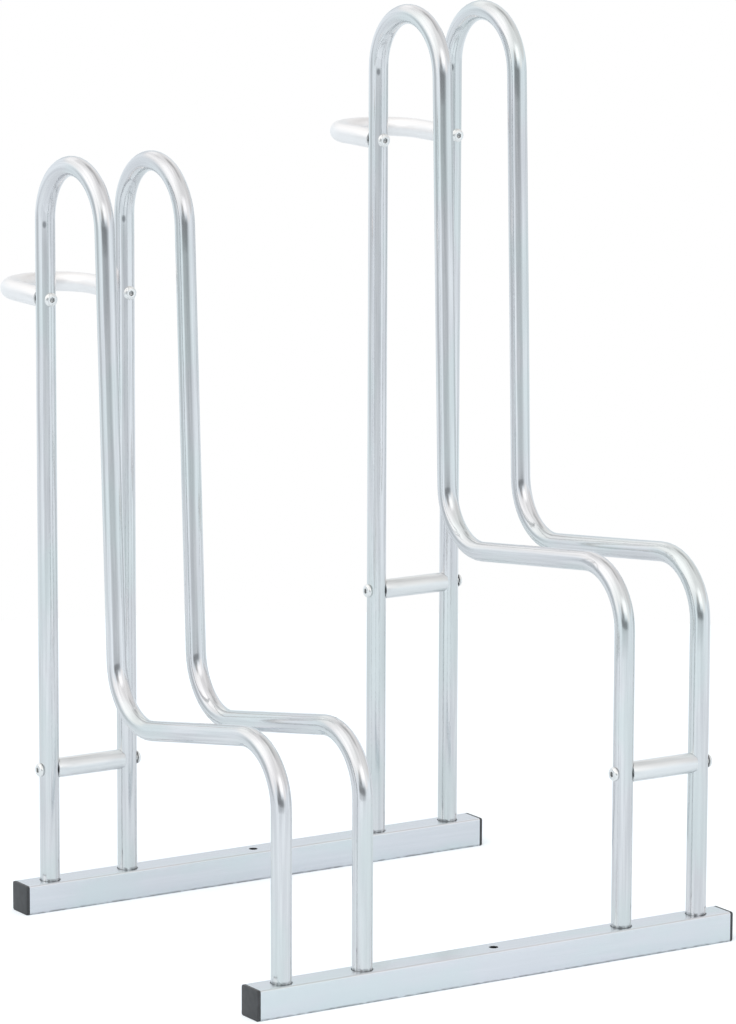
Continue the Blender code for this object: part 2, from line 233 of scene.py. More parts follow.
class Lay(Enum):
    """Which way the marks of a surface run."""

    ALONG_TUBE = "along the tube"
    ALONG_RAIL = "along the rail"
    ALL_ROUND = "all round"

    def place(self, graph: Graph) -> Signal:
        """Find where the marks are read.

        Args:
            graph: The material's graph.

        Returns:
            The point, its third axis along the marks.
        """
        if self is Lay.ALONG_TUBE:
            return graph.attribute(RUN_ATTRIBUTE)
        point = graph.signal("ShaderNodeTexCoord", {}, {}, "Object")
        if self is Lay.ALL_ROUND:
            return point
        return graph.signal("ShaderNodeMapping", {}, {"Vector": point, "Rotation": (0, -pi / 2, 0)})


@dataclass(frozen=True)
class Zinc:
    """Bright zinc plating, with the streaks of drawn tube under it and a faint tint of passivation."""

    name: str
    lay: Lay
    light: Colour
    dark: Colour
    tint: Colour
    roughness: float
    streak: Triple = (330.0, 330.0, 9.0)
    streak_levels: Pair = (0.30, 0.70)
    streak_share: float = 0.7
    streak_spread: float = 0.06
    hair: Triple = (1500.0, 1500.0, 26.0)
    hair_spread: float = 0.04
    cloud: Triple = (26.0, 26.0, 9.0)
    cloud_levels: Pair = (0.42, 0.66)
    tint_share: float = 0.35
    wave: Triple = (300.0, 300.0, 22.0)
    waviness: float = 0.0
    bump: float = 0.35
    relief: float = 0.00001
    detail: float = 3.0
    scuff: Triple = (210.0, 210.0, 120.0)
    scuff_detail: float = 4.0
    scuff_levels: Pair = (0.58, 0.70)
    scuff_spread: float = 0.03
    # Painted shade: below this height the colour darkens, as contact shade at the floor and at the legs'
    # feet.
    painted_shade_height: float = 0.0
    painted_shade_colour: Colour = (0.13, 0.14, 0.15)
    painted_shade_fade: float = 0.0022
    painted_shade_levels: Pair = (0.30, 0.62)
    painted_shade_share: float = 0.7
    # Painted shade in the hexagon socket.
    shaded_sockets: bool = False
    socket_shade_share: float = 0.6
    # A painted dark reflection spot, placed from the start of the hoop's top bend.
    dark_reflection_spot: bool = False
    mark_place: Triple = (-0.0054, 0.0084, -0.003)
    reflection_spot_squash: Triple = (1.0, 1.0, 0.55)
    reflection_spot_radius: float = 0.0027
    reflection_spot_core: float = 0.0009
    reflection_spot_share: float = 0.62

    def painted_shade(self, graph: Graph, patches: Signal) -> Signal | float:
        """Gather what is painted dark on the zinc: shade low down, shade in sockets and a dark reflection
        spot.

        Args:
            graph: The material's graph.
            patches: A noise that breaks up the painted shade low down.

        Returns:
            How much of the painted shade's dark colour shows.
        """
        painted_shade: Signal | float = 0.0
        if self.painted_shade_height:
            height = graph.split(Lay.ALL_ROUND.place(graph))[2]
            low = height.ramp(self.painted_shade_height, self.painted_shade_height - self.painted_shade_fade)
            painted_shade = low * patches.ramp(*self.painted_shade_levels) * self.painted_shade_share + painted_shade
        if self.shaded_sockets:
            painted_shade = graph.attribute(SUNK_ATTRIBUTE, "Fac") * self.socket_shade_share + painted_shade
        if self.dark_reflection_spot:
            spot = graph.attribute(REFLECTION_SPOT_ATTRIBUTE).vector_maths("SUBTRACT", self.mark_place)
            away = spot.vector_maths("MULTIPLY", self.reflection_spot_squash).vector_maths("LENGTH", output="Value")
            painted_shade = away.ramp(self.reflection_spot_radius, self.reflection_spot_core) * self.reflection_spot_share + painted_shade
        return painted_shade

    def shader(self, graph: Graph) -> Signal:
        """Write the zinc's shader.

        Args:
            graph: The material's graph.

        Returns:
            The shader.
        """
        place = self.lay.place(graph)
        streak = graph.noise(place, self.streak, self.detail)
        hair = graph.noise(place, self.hair)
        wave = graph.noise(place, self.wave, self.detail)
        cloud = graph.noise(place, self.cloud, self.detail)
        patches = graph.noise(place, self.scuff, self.scuff_detail)
        shade = streak.ramp(*self.streak_levels) * self.streak_share + hair * (1 - self.streak_share)
        plain = graph.blend(shade, self.dark, self.light)
        colour = graph.blend(cloud.ramp(*self.cloud_levels) * self.tint_share, plain, self.tint)
        # Painted shade and a painted dark reflection darken the colour here.
        colour = graph.blend(self.painted_shade(graph, patches), colour, self.painted_shade_colour)
        rough = (self.roughness
                 + (NOISE_MIDDLE - streak) * self.streak_spread
                 + (NOISE_MIDDLE - hair) * self.hair_spread
                 + patches.ramp(*self.scuff_levels) * self.scuff_spread)
        bump = {"Strength": self.bump, "Distance": self.relief, "Height": hair + wave * self.waviness}
        return graph.surface(bump, {"Base Color": colour, "Metallic": 1.0, "Roughness": rough})


@dataclass(frozen=True)
class Plastic:
    """Moulded plastic with a fine spark-eroded grain."""

    name: str
    light: Colour
    dark: Colour
    roughness: float
    mottle: Triple = (160.0, 160.0, 160.0)
    mottle_levels: Pair = (0.3, 0.7)
    detail: float = 4.0
    grain: Triple = (2600.0, 2600.0, 2600.0)
    roughness_spread: float = 0.16
    bump: float = 0.5
    relief: float = 0.00006
    ior: float = 1.62

    def shader(self, graph: Graph) -> Signal:
        """Write the plastic's shader.

        Args:
            graph: The material's graph.

        Returns:
            The shader.
        """
        place = Lay.ALL_ROUND.place(graph)
        mottle = graph.noise(place, self.mottle, self.detail)
        colour = graph.blend(mottle.ramp(*self.mottle_levels), self.dark, self.light)
        rough = self.roughness + (mottle - NOISE_MIDDLE) * self.roughness_spread
        bump = {"Strength": self.bump, "Distance": self.relief, "Height": graph.noise(place, self.grain)}
        return graph.surface(bump, {"Base Color": colour, "Roughness": rough, "IOR": self.ior})


FINISHES: dict[Slot, Zinc | Plastic] = {
    # Hoops: painted shade at the feet where they enter the rails, and a painted dark reflection spot at each
    # top bend's start.
    Slot.HOOP: Zinc(
        "hoop_zinc", Lay.ALONG_TUBE, light=(0.86, 0.857, 0.865), dark=(0.67, 0.667, 0.685),
        tint=(0.71, 0.775, 0.765), roughness=0.12, tint_share=0.6, waviness=24.0, painted_shade_height=0.0335, dark_reflection_spot=True),
    Slot.RAIL: Zinc(
        # Rails: painted contact shade along their lowest few millimetres at the floor.
        "rail_zinc", Lay.ALONG_RAIL, light=(0.84, 0.845, 0.88), dark=(0.79, 0.805, 0.84),
        tint=(0.765, 0.835, 0.845), roughness=0.22, tint_share=0.7, waviness=4.0, painted_shade_height=0.0030,
        painted_shade_share=0.6),
    Slot.SPACER: Zinc(
        "spacer_zinc", Lay.ALONG_TUBE, light=(0.89, 0.90, 0.905), dark=(0.845, 0.855, 0.86),
        tint=(0.85, 0.865, 0.85), roughness=0.30, waviness=6.0),
    Slot.STOP: Zinc(
        "stop_zinc", Lay.ALONG_TUBE, light=(0.985, 0.97, 0.965), dark=(0.945, 0.93, 0.925),
        tint=(0.97, 0.95, 0.95), roughness=0.44),
    # Screws: painted shade in their hexagon sockets.
    Slot.SCREW: Zinc(
        "screw_zinc", Lay.ALL_ROUND, light=(0.95, 0.95, 0.94), dark=(0.87, 0.87, 0.86),
        tint=(0.90, 0.90, 0.88), roughness=0.24, shaded_sockets=True),
    Slot.INSERT: Zinc(
        "insert_zinc", Lay.ALL_ROUND, light=(0.52, 0.53, 0.54), dark=(0.38, 0.39, 0.40),
        tint=(0.50, 0.49, 0.44), roughness=0.38),
    Slot.CAP: Plastic("cap_plastic", light=(0.040, 0.042, 0.045), dark=(0.020, 0.021, 0.023), roughness=0.42),
}


@dataclass
class Wardrobe:
    """Makes each finish once and puts it on pieces."""

    made: dict[Slot, bpy.types.Material] = field(default_factory=dict)

    def coat(self, piece: Piece, slot: Slot) -> None:
        """Give a piece a finish, which is made at its first use.

        Args:
            piece: The piece.
            slot: The material slot.
        """
        if slot not in self.made:
            self.made[slot] = paint(FINISHES[slot].name, FINISHES[slot].shader)
        piece.data.materials.clear()
        piece.data.materials.append(self.made[slot])

    def dress(self, piece: Piece, slot: Slot, node: str) -> None:
        """Finish a piece and let it stand for its CAD node.

        Args:
            piece: The finished piece.
            slot: The material slot that it takes its finish from.
            node: The CAD node that it replaces.
        """
        self.coat(piece, slot)
        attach(piece, BODY)
        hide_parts(node)
        LOG.info("%s: %d faces, %s, for %s", piece.name, len(piece.data.polygons), slot.value, node)

    def dress_node(self, node: str, slot: Slot) -> None:
        """Give a CAD node that stays its finish."""
        self.coat(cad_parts[node], slot)
        LOG.info("%s: CAD node, %s", node, slot.value)


def take(piece: Piece) -> None:
    """Select a piece alone and make it active.

    Args:
        piece: The piece.
    """
    bpy.ops.object.select_all(action="DESELECT")
    piece.select_set(True)
    bpy.context.view_layer.objects.active = piece


def named(name: str) -> Piece:
    """Name the primitive that was just added and settle its place into its mesh.

    Args:
        name: The piece's name.

    Returns:
        The piece.
    """
    piece = bpy.context.active_object
    piece.name = name
    piece.data.name = name
    take(piece)
    bpy.ops.object.transform_apply(location=True, rotation=True, scale=True)
    return piece


@contextmanager
def editing(piece: Piece, kind: str = "FACE") -> Iterator[None]:
    """Open a piece in edit mode with nothing selected.

    Args:
        piece: The piece.
        kind: VERT, EDGE or FACE, what is selected.

    Yields:
        Nothing, while the piece is open.
    """
    take(piece)
    bpy.ops.object.mode_set(mode="EDIT")
    bpy.ops.mesh.select_mode(type=kind)
    bpy.ops.mesh.select_all(action="DESELECT")
    yield
    bpy.ops.object.mode_set(mode="OBJECT")


def pick_faces(piece: Piece, *directions: Vector) -> None:
    """Select the faces of the open piece that look along one of some directions.

    Args:
        piece: The piece, in edit mode.
        directions: The directions.
    """
    form = bmesh.from_edit_mesh(piece.data)
    for face in form.faces:
        face.select_set(any(face.normal.dot(direction) > SQUARE_ON for direction in directions))
    bmesh.update_edit_mesh(piece.data)


def pick_edges(piece: Piece, direction: Vector) -> None:
    """Select the edges of the open piece that run along a direction.

    Args:
        piece: The piece, in edit mode.
        direction: The direction.
    """
    form = bmesh.from_edit_mesh(piece.data)
    for edge in form.edges:
        first, last = (vert.co for vert in edge.verts)
        edge.select_set(abs((last - first).normalized().dot(direction)) > SQUARE_ON)
    bmesh.update_edit_mesh(piece.data)


def extrude(shift: Vector, scale: Triple | None = None, centre: Vector = ORIGIN) -> None:
    """Extrude what is selected, and draw it in or out if a scale is given.

    Args:
        shift: How far it moves.
        scale: How much it grows along each axis.
        centre: The point that it grows about.
    """
    bpy.ops.mesh.extrude_region_move(TRANSFORM_OT_translate={"value": shift})
    if scale is not None:
        bpy.ops.transform.resize(value=scale, center_override=centre)


def draw_out(axis: Vector, start: Pair, steps: list[Pair]) -> None:
    """Extrude what is selected, step by step along an axis through the origin.

    Args:
        axis: X_AXIS or Z_AXIS.
        start: The place along the axis and the half width that it has.
        steps: The places and half widths that it goes to.
    """
    place, half = start
    for next_place, next_half in steps:
        scale = next_half / half
        extrude(axis * (next_place - place), tuple(1 if part else scale for part in axis))
        place = next_place
        half = next_half


def close(piece: Piece) -> None:
    """Merge the doubles of a skin and turn its faces outwards.

    Args:
        piece: The skin.
    """
    with editing(piece, "VERT"):
        bpy.ops.mesh.select_all(action="SELECT")
        bpy.ops.mesh.remove_doubles(threshold=MERGE)
        bpy.ops.mesh.normals_make_consistent(inside=False)


def modify(piece: Piece, kind: str, **settings: Any) -> None:
    """Add a modifier and apply it.

    Args:
        piece: The piece.
        kind: The modifier's type.
        settings: Its settings.
    """
    modifier = piece.modifiers.new(kind.lower(), kind)
    for name, value in settings.items():
        setattr(modifier, name, value)
    take(piece)
    bpy.ops.object.modifier_apply(modifier=modifier.name)


def shape(piece: Piece, tool: Piece, operation: str = "DIFFERENCE") -> None:
    """Cut a tool body out of a piece, or join it on, and throw the tool away."""
    modify(piece, "BOOLEAN", operation=operation, solver="EXACT", object=tool)
    bpy.data.meshes.remove(tool.data)


def thicken(piece: Piece, wall: float) -> None:
    """Give a skin its wall, on the inside."""
    modify(piece, "SOLIDIFY", thickness=wall, offset=-1.0, use_even_offset=True)


def soften(piece: Piece, width: float, angle: float) -> None:
    """Break the edges of a piece that are sharper than an angle, to a width."""
    modify(piece, "BEVEL", width=width, segments=EDGE_STEPS, limit_method="ANGLE", angle_limit=angle)


def smooth(piece: Piece) -> None:
    """Shade a piece smooth but for its sharp edges."""
    take(piece)
    bpy.ops.object.shade_smooth_by_angle(angle=SMOOTH_ANGLE)


def link(name: str, data: bpy.types.ID) -> Piece:
    """Put a new object into the scene.

    Args:
        name: Its name.
        data: Its mesh, camera or light.

    Returns:
        The object.
    """
    made = bpy.data.objects.new(name, data)
    bpy.context.scene.collection.objects.link(made)
    return made


def copy_to(master: Piece, name: str, place: Matrix) -> Piece:
    """Copy a master piece, mesh and all, and settle the copy in its place.

    Args:
        master: The modelled piece, at the origin.
        name: The copy's name.
        place: Where it goes.

    Returns:
        The copy.
    """
    mesh = master.data.copy()
    mesh.name = name
    mesh.transform(place)
    return link(name, mesh)


def write_points(piece: Piece, name: str, kind: str, values: list[Vector] | list[float]) -> None:
    """Store a value at every point of a piece, for its material to read.

    Args:
        piece: The piece.
        name: The attribute's name.
        kind: FLOAT or FLOAT_VECTOR.
        values: A value for each point.
    """
    field_name = "vector" if kind == "FLOAT_VECTOR" else "value"
    stored = piece.data.attributes.new(name, kind, "POINT")
    for value, item in zip(values, stored.data):
        setattr(item, field_name, value)


def facing(point: Vector, direction: Vector) -> Matrix:
    """Return the place at a point whose +Z looks along a direction."""
    return Matrix.Translation(point) @ direction.to_track_quat("Z", "Y").to_matrix().to_4x4()


@dataclass(frozen=True)
class Spot:
    """Where a point lies by a section: how far off, how far along and how far to the left."""

    away: float
    along: float
    aside: float


@dataclass(frozen=True)
class Straight:
    """A straight section of a centre line, in its plane."""

    start: Flat
    end: Flat
    longest_step: float = 0.030

    @property
    def length(self) -> float:
        """The section's length."""
        return (self.end - self.start).length

    def locate(self, point: Flat) -> Spot:
        """Place a point of the plane by this section.

        Args:
            point: The point.

        Returns:
            Its distance, its length along and its offset to the left.
        """
        ahead = (self.end - self.start).normalized()
        offset = point - self.start
        along = min(max(offset.dot(ahead), 0.0), self.length)
        away = (offset - ahead * along).length
        return Spot(away, along, ahead.x * offset.y - ahead.y * offset.x)

    def run_on(self, run: "Run") -> None:
        """Extrude the open end along this section.

        Args:
            run: The centre line that it belongs to.
        """
        steps = ceil(self.length / self.longest_step)
        for _ in range(steps):
            extrude(run.way(self.end - self.start) / steps)


@dataclass(frozen=True)
class Bend:
    """A round bend of a centre line, in its plane. A turn above nought goes to the left."""

    centre: Flat
    radius: float
    start_angle: float
    turn: float
    step_angle: float = radians(7.5)

    @property
    def length(self) -> float:
        """The section's length."""
        return self.radius * abs(self.turn)

    def point(self, angle: float) -> Flat:
        """Return the bend's point at an angle about its centre."""
        return self.centre + self.radius * Vector((cos(angle), sin(angle)))

    @property
    def start(self) -> Flat:
        """Where the bend begins."""
        return self.point(self.start_angle)

    @property
    def end(self) -> Flat:
        """Where the bend ends."""
        return self.point(self.start_angle + self.turn)

    def locate(self, point: Flat) -> Spot:
        """Place a point of the plane by this section.

        Args:
            point: The point.

        Returns:
            Its distance, its length along and its offset to the left.
        """
        side = copysign(1.0, self.turn)
        offset = point - self.centre
        angle = side * (atan2(offset.y, offset.x) - self.start_angle)
        angle = (angle + pi) % (2 * pi) - pi
        if angle < abs(self.turn) / 2 - pi:
            angle += 2 * pi
        angle = min(max(angle, 0.0), abs(self.turn))
        away = (point - self.point(self.start_angle + side * angle)).length
        return Spot(away, angle * self.radius, side * (self.radius - offset.length))

    def run_on(self, run: "Run") -> None:
        """Spin the open end round this section."""
        steps = 2 * round(abs(self.turn) / self.step_angle / 2)
        bpy.ops.mesh.spin(steps=steps, angle=-self.turn, center=run.place(self.centre), axis=run.normal,
                          use_auto_merge=False)


def rounded(points: list[Flat], radius: float) -> list[Straight | Bend]:
    """Round the corners of a line.

    Args:
        points: Its start, its sharp corners and its end.
        radius: The radius of every bend.

    Returns:
        The line's sections.
    """
    sections: list[Straight | Bend] = []
    start = points[0]
    for before, corner, after in zip(points, points[1:], points[2:]):
        arriving = (corner - before).normalized()
        leaving = (after - corner).normalized()
        turn = atan2(arriving.x * leaving.y - arriving.y * leaving.x, arriving.dot(leaving))
        side = copysign(1.0, turn)
        first = corner - arriving * radius * tan(abs(turn) / 2)
        outwards = side * Vector((arriving.y, -arriving.x))
        bend = Bend(first - outwards * radius, radius, atan2(outwards.y, outwards.x), turn)
        sections += [Straight(start, bend.start), bend]
        start = bend.end
    sections.append(Straight(start, points[-1]))
    return sections


class Marks(Enum):
    """Where a tube's surface marks begin, in metres: a start and a shift for each metre of its place."""

    HOOP = (3.0, 10.0)
    SPACER = (7.0, 5.0)
    STOP = (9.0, 1.0)

    def begin(self, place: float) -> float:
        """Return where the marks of the tube at a place begin."""
        start, shift = self.value
        return start + shift * place


@dataclass(frozen=True)
class Run:
    """A tube's centre line: sections end to end in a plane of the frame."""

    origin: Vector
    across: Vector
    up: Vector
    sections: tuple[Straight | Bend, ...]
    marks_from: float

    @property
    def normal(self) -> Vector:
        """The plane's normal."""
        return self.across.cross(self.up)

    def way(self, offset: Flat) -> Vector:
        """Return a direction of the plane in the frame."""
        return self.across * offset.x + self.up * offset.y

    def place(self, point: Flat) -> Vector:
        """Return a point of the plane in the frame."""
        return self.origin + self.way(point)

    def locate(self, point: Vector) -> Vector:
        """Place a point of the tube by its centre line.

        Args:
            point: The point, in the frame.

        Returns:
            Its offset square to the plane, its offset to the left, and its length along the run.
        """
        offset = point - self.origin
        flat = Vector((offset.dot(self.across), offset.dot(self.up)))
        spots: list[Spot] = []
        passed = 0.0
        for section in self.sections:
            spot = section.locate(flat)
            spots.append(Spot(spot.away, passed + spot.along, spot.aside))
            passed += section.length
        nearest = min(spots, key=lambda spot: spot.away)
        return Vector((offset.dot(self.normal), nearest.aside, nearest.along))


@dataclass(frozen=True)
class Cut:
    """A round bore or hollow through a piece, from one point to another."""

    radius: float
    start: Vector
    end: Vector

    def tool(self) -> Piece:
        """Make the tool body that cuts it.

        Returns:
            The tool body.
        """
        axis = self.end - self.start
        bpy.ops.mesh.primitive_cylinder_add(vertices=ROUND_SIDES, radius=self.radius, depth=axis.length,
                                            location=(self.start + self.end) / 2,
                                            rotation=axis.to_track_quat("Z", "Y").to_euler())
        return named("drill")


@dataclass(frozen=True)
class RoundTube:
    """Stock round tube."""

    radius: float = 0.010
    wall: float = 0.0015
    bend: float = 0.060
    rim: float = 0.00025
    rim_angle: float = radians(60)

    def skin(self, name: str, run: Run) -> Piece:
        """Bend the tube's outer skin along a run.

        Args:
            name: The piece's name.
            run: The centre line.

        Returns:
            The skin, open at both ends.
        """
        first = run.sections[0]
        start = run.place(first.start)
        ahead = run.place(first.end) - start
        bpy.ops.mesh.primitive_circle_add(vertices=ROUND_SIDES, radius=self.radius, location=start,
                                          rotation=ahead.to_track_quat("Z", "Y").to_euler())
        piece = named(name)
        with editing(piece, "EDGE"):
            bpy.ops.mesh.select_all(action="SELECT")
            for section in run.sections:
                section.run_on(run)
        close(piece)
        return piece

    def bent(self, name: str, run: Run, saddles: list[Cut], bores: list[Cut]) -> Piece:
        """Bend a tube along a run, with its wall, its cut ends and its bores.

        Args:
            name: The piece's name.
            run: The centre line.
            saddles: The hollows that its ends are cut to.
            bores: Its bores.

        Returns:
            The finished tube.
        """
        piece = self.skin(name, run)
        thicken(piece, self.wall)
        for saddle in saddles:
            shape(piece, saddle.tool())
        soften(piece, self.rim, self.rim_angle)
        for bore in bores:
            shape(piece, bore.tool())
        smooth(piece)
        spots = [run.locate(vert.co) for vert in piece.data.vertices]
        run_start = Vector((0, 0, run.marks_from))
        bend_start = Vector((0, 0, run.sections[0].length))
        write_points(piece, RUN_ATTRIBUTE, "FLOAT_VECTOR", [spot + run_start for spot in spots])
        # Each point's place from the top bend's start, where the hoop's finish paints a dark reflection spot.
        write_points(piece, REFLECTION_SPOT_ATTRIBUTE, "FLOAT_VECTOR", [spot - bend_start for spot in spots])
        return piece


@dataclass(frozen=True)
class Screw:
    """What both kinds of M8 screw share: the threaded shank and the hexagon socket."""

    thread: float = 0.008
    pitch: float = 0.00125
    core: float = 0.0066
    tip: float = 0.001
    key: float = 0.005
    key_sides: int = 6
    key_depth: float = 0.0022
    key_point: float = 0.0007
    key_tip: float = 0.05
    sides: int = 40
    edge: float = 0.00012
    edge_angle: float = radians(40)

    @property
    def key_corner(self) -> float:
        """Radius of the hexagon socket's corners."""
        return self.key / sqrt(3)

    def shank(self, name: str, top: float, plain: float, length: float) -> Piece:
        """Make a shank that hangs down from a height, with rings for its thread.

        Args:
            name: The screw's name.
            top: The height that it hangs from.
            plain: The length below z = 0 at which the thread begins.
            length: The length below z = 0 at which it ends.

        Returns:
            The shank, a closed body.
        """
        bpy.ops.mesh.primitive_cylinder_add(vertices=self.sides, radius=self.thread / 2, depth=top + plain,
                                            location=(0, 0, (top - plain) / 2))
        piece = named(name)
        turns = int((length - plain - self.tip) / self.pitch)
        rest = length - plain - self.tip - turns * self.pitch
        drawn_in = self.core / self.thread
        point = 1 - 2 * self.tip / self.thread
        with editing(piece):
            pick_faces(piece, -Z_AXIS)
            for _ in range(turns):
                for scale in (drawn_in, 1 / drawn_in):
                    extrude(-Z_AXIS * self.pitch / 2, (scale, scale, 1))
            extrude(-Z_AXIS * rest)
            extrude(-Z_AXIS * self.tip, (point, point, 1))
        return piece

    def draw_head(self, piece: Piece, rings: list[Pair]) -> None:
        """Draw the head up from the shank's top face.

        Args:
            piece: The screw.
            rings: The heights and radii of the head's rings above the shank's top.
        """
        with editing(piece):
            pick_faces(piece, Z_AXIS)
            top = max(vert.co.z for vert in bmesh.from_edit_mesh(piece.data).verts)
            draw_out(Z_AXIS, (top, self.thread / 2), rings)

    def sink_key(self, piece: Piece, face: float) -> None:
        """Sink the hexagon socket into the head, with the point of its drill.

        Args:
            piece: The screw.
            face: The height of the head's face.
        """
        bpy.ops.mesh.primitive_cylinder_add(vertices=self.key_sides, radius=self.key_corner,
                                            depth=2 * self.key_depth, location=(0, 0, face))
        hexagon = named("key")
        with editing(hexagon):
            pick_faces(hexagon, -Z_AXIS)
            extrude(-Z_AXIS * self.key_point, (self.key_tip, self.key_tip, 1))
        shape(piece, hexagon)
        soften(piece, self.edge, self.edge_angle)
        close(piece)
        smooth(piece)
        # The socket's points, where the screw's finish paints shade.
        reach = self.key_corner + self.edge
        bottom = face - self.key_depth - self.key_point - self.edge
        write_points(piece, SUNK_ATTRIBUTE, "FLOAT", [
            float(vert.co.xy.length < reach and bottom < vert.co.z < face - 2 * self.edge)
            for vert in piece.data.vertices])


@dataclass(frozen=True)
class ButtonScrew(Screw):
    """A button-head screw, its seat at z = 0 and its head on +Z."""

    head: float = 0.014
    height: float = 0.0034
    land: float = 0.0006
    length: float = 0.035
    plain: float = 0.003
    steps: int = 10

    def model(self) -> Piece:
        """Model the screw.

        Returns:
            The screw at the origin, as a master for copies.
        """
        piece = self.shank("button_screw", 0.0, self.plain, self.length)
        half = self.head / 2
        flat = self.key_corner + self.land
        rings = [(0.0, half - self.edge), (self.edge, half), (self.land, half)]
        for step in range(1, self.steps + 1):
            angle = pi / 2 * step / self.steps
            rings.append((self.land + (self.height - self.land) * sin(angle),
                          flat + (half - flat) * cos(angle)))
        self.draw_head(piece, rings)
        self.sink_key(piece, self.height)
        return piece


@dataclass(frozen=True)
class SunkScrew(Screw):
    """A countersunk screw, its face at z = 0, facing +Z."""

    head: float = 0.016
    land: float = 0.0003
    length: float = 0.025
    plain: float = 0.006

    def model(self) -> Piece:
        """Model the screw.

        Returns:
            The screw at the origin, as a master for copies.
        """
        cone = self.land + (self.head - self.thread) / 2
        piece = self.shank("sunk_screw", -cone, self.plain, self.length)
        self.draw_head(piece, [(-self.land, self.head / 2), (0.0, self.head / 2)])
        self.sink_key(piece, 0.0)
        return piece


@dataclass(frozen=True)
class Layout:
    """Where the rails, places and hoops stand, and the fits between pieces."""

    rail_spacing: float = 0.450
    place_spacing: float = 0.390
    middle_depth: float = 0.051
    wheel_gap: float = 0.070
    seat: float = 0.0003
    sunk_recess: float = 0.0005
    shank_clearance: float = 0.0005
    ring_clearance: float = 0.0007
    leg_end: float = 0.0036
    saddle: float = 0.0035

    @property
    def rear(self) -> float:
        """Depth of the rear rail and posts."""
        return self.rail_spacing / 2 - self.middle_depth

    @property
    def front(self) -> float:
        """Depth of the front rail and legs."""
        return -self.rail_spacing / 2 - self.middle_depth


LAYOUT = Layout()
TUBE = RoundTube()
HOOP_OFFSET = LAYOUT.wheel_gap / 2 + TUBE.radius
SHANK_BORE = Screw.thread / 2 + LAYOUT.shank_clearance
SIDES = (("left", -1), ("right", 1))
ENDS = (("front", LAYOUT.front), ("rear", LAYOUT.rear))


@dataclass(frozen=True)
class Rail:
    """A base rail of square tube, with a hole and a pressed seat for each leg and an anchor hole."""

    length: float = 0.5434
    size: float = 0.030
    wall: float = 0.0015
    corner: float = 0.002
    corner_steps: int = 5
    anchor: float = 0.009
    edge: float = 0.0003
    edge_angle: float = radians(40)

    @property
    def mouth(self) -> float:
        """Radius of the countersink at the floor."""
        return SunkScrew.head / 2 + LAYOUT.sunk_recess + SunkScrew.land + LAYOUT.seat * sqrt(2)

    def skin(self, name: str, depth: float) -> Piece:
        """Make the square tube with its round corners.

        Args:
            name: The rail's name.
            depth: Where it lies along Y.

        Returns:
            The tube, open at both ends.
        """
        bpy.ops.mesh.primitive_cube_add(size=1, location=(0, depth, self.size / 2),
                                        scale=(self.length, self.size, self.size))
        piece = named(name)
        with editing(piece):
            pick_faces(piece, X_AXIS, -X_AXIS)
            bpy.ops.mesh.delete(type="ONLY_FACE")
        with editing(piece, "EDGE"):
            pick_edges(piece, X_AXIS)
            bpy.ops.mesh.bevel(offset=self.corner, segments=self.corner_steps)
        close(piece)
        thicken(piece, self.wall)
        return piece

    def press_seat(self, piece: Piece, x: float, depth: float) -> None:
        """Cut the hole that a leg goes in by, and press up the dimple that it stands on.

        Args:
            piece: The rail.
            x: The leg's place along the rail.
            depth: The rail's depth.
        """
        outside = self.mouth + self.wall * sqrt(2)
        foot = self.wall / 2
        top = outside - SHANK_BORE - foot
        bpy.ops.mesh.primitive_cone_add(vertices=ROUND_SIDES, radius1=outside - foot, radius2=outside - top,
                                        depth=top - foot, location=(x, depth, (top + foot) / 2))
        shape(piece, named("dimple"), "UNION")
        middle = Vector((x, depth, self.size / 2))
        throat = Vector((x, depth, self.mouth - SHANK_BORE))
        sink = Cut(SHANK_BORE, throat, middle).tool()
        flare = (self.mouth + self.wall) / SHANK_BORE
        with editing(sink):
            pick_faces(sink, -Z_AXIS)
            extrude(-Z_AXIS * (throat.z + self.wall), (flare, flare, 1), throat)
        shape(piece, sink)
        leg_hole = Cut(TUBE.radius + LAYOUT.ring_clearance, middle, Vector((x, depth, 2 * self.size)))
        shape(piece, leg_hole.tool())

    def model(self, name: str, depth: float, legs: list[float]) -> Piece:
        """Model a rail.

        Args:
            name: The rail's name.
            depth: Where it lies along Y.
            legs: Where the legs stand along X.

        Returns:
            The finished rail.
        """
        piece = self.skin(name, depth)
        for x in legs:
            self.press_seat(piece, x, depth)
        anchor_hole = Cut(self.anchor / 2, Vector((0, depth, -self.size)), Vector((0, depth, 2 * self.size)))
        shape(piece, anchor_hole.tool())
        soften(piece, self.edge, self.edge_angle)
        smooth(piece)
        modify(piece, "WEIGHTED_NORMAL", keep_sharp=True)
        return piece


